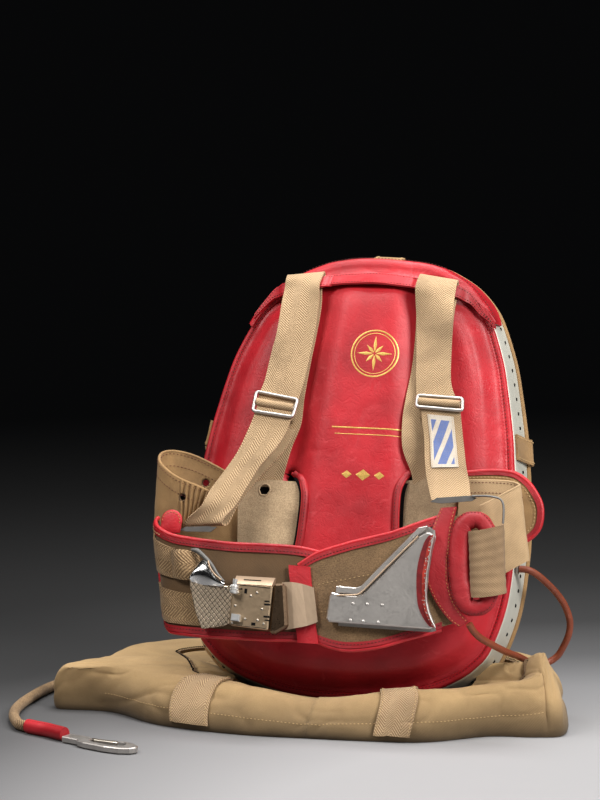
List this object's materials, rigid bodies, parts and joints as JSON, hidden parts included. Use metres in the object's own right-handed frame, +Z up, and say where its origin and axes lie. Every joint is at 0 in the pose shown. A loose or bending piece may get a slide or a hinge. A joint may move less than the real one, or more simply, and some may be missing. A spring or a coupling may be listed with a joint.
{
  "type": "packed parachute with its carrying bag",
  "caption": "Packed back-type parachute in red leather and tan canvas with harness straps, belt and quick-release buckle, standing in its collapsed canvas carrying bag.",
  "frame": {"origin": "on the floor under the pack, at the middle of its front panel", "axes": "+X to the right of the front view, the front panel faces -Y, +Z up"},
  "size_m": [0.6361, 0.4684, 0.516],
  "materials": {
    "red_leather": "semi-gloss",
    "grey_rim": "satin",
    "tan_canvas": "matte",
    "tan_webbing": "matte",
    "suede": "matte",
    "bright_steel": "satin",
    "brown_leather": "satin",
    "woven_label": "matte"
  },
  "bodies": {
    "pack": {"pack_front": "red_leather", "yoke": "red_leather", "yoke_band": "red_leather", "piping_left_top": "red_leather", "piping_left_low": "red_leather", "piping_right_top": "red_leather", "piping_right_low": "red_leather", "piping_wing_r": "red_leather", "tab_l": "red_leather", "ring_pad": "red_leather", "ring_strip": "red_leather", "buckle_keeper": "red_leather", "line_sleeve": "red_leather", "pack_rim": "grey_rim", "pack_back": "tan_canvas", "top_tab": "tan_canvas", "back_band": "tan_canvas", "belt_left": "tan_canvas", "wing_l": "tan_canvas", "wing_r": "tan_canvas", "bag": "tan_canvas", "strap_l": "tan_webbing", "strap_r": "tan_webbing", "strap_lower_l": "tan_webbing", "strap_lower_r": "tan_webbing", "band_r": "tan_webbing", "wrap_l_upper": "tan_webbing", "wrap_l_lower": "tan_webbing", "webbing_l": "tan_webbing", "ring_loop": "tan_webbing", "bag_band_l": "tan_webbing", "bag_band_r": "tan_webbing", "static_line": "tan_webbing", "belt_back": "suede", "belt_right": "suede", "slide_l": "bright_steel", "slide_r": "bright_steel", "strap_plate_l": "bright_steel", "strap_plate_r": "bright_steel", "link_r": "bright_steel", "buckle_box": "bright_steel", "buckle_end": "bright_steel", "buckle_tongue": "bright_steel", "lever_base": "bright_steel", "lever_flange": "bright_steel", "hose_ferrule": "bright_steel", "hook_body": "bright_steel", "ripcord_hose": "brown_leather", "label_r": "woven_label"},
    "lever": {"lever": "bright_steel"},
    "flap": {"buckle_flap": "bright_steel", "buckle_horn": "bright_steel"},
    "gate": {"hook_gate": "bright_steel"}
  },
  "joints": [
    {"name": "lever_open", "type": "hinge", "parent": "pack", "child": "lever", "pos_m": [-0.00313, -0.06816, 0.14655], "axis": [-0.01, -0.2924, -0.9563], "range_deg": [0, 50]},
    {"name": "flap_open", "type": "hinge", "parent": "pack", "child": "flap", "pos_m": [-0.11787, -0.07661, 0.14406], "axis": [0.01, 0.2924, 0.9563], "range_deg": [0, 60]},
    {"name": "gate_open", "type": "hinge", "parent": "pack", "child": "gate", "pos_m": [-0.24895, -0.17, 0.0038], "axis": [0, 0, -1], "range_deg": [0, 15], "stiffness_Nm_per_rad": 0.02, "springref_deg": -11.46}
  ]
}
